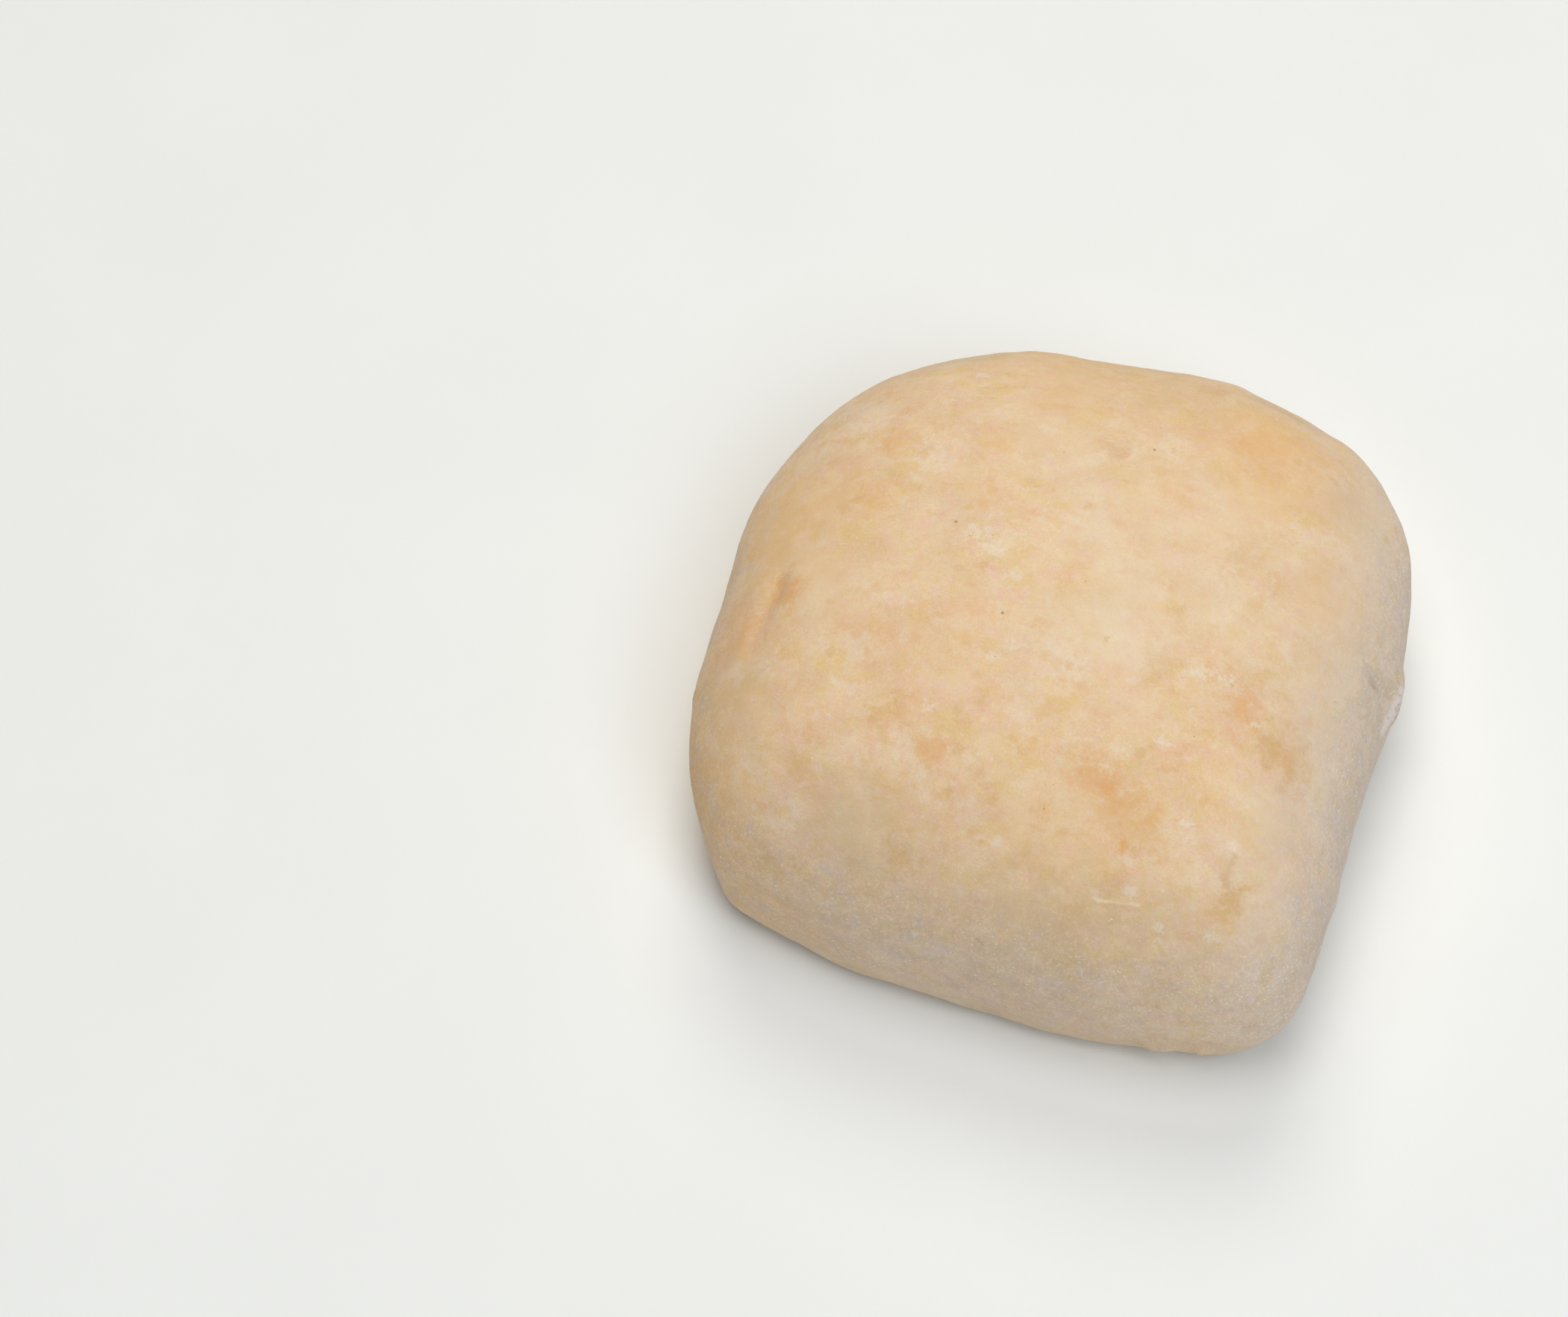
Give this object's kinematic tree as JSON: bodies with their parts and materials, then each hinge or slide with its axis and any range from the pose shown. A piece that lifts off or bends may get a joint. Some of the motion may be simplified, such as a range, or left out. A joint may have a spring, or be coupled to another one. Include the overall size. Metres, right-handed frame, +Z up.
{
  "type": "bread roll",
  "caption": "Pale, flour-dusted bread roll: a soft rounded square of dough with a domed top and a flat base to rest on, uncut.",
  "frame": {"origin": "middle of the roll's box, on the plane of its flat base", "axes": "+Z up through the domed top, -Y out of the front side, +X out of the right side"},
  "size_m": [0.0998, 0.103, 0.0485],
  "materials": {
    "crust": "matte, floury, pale crust with faint toasted patches"
  },
  "bodies": {
    "root": {"bread_roll": "crust"}
  },
  "joints": []
}
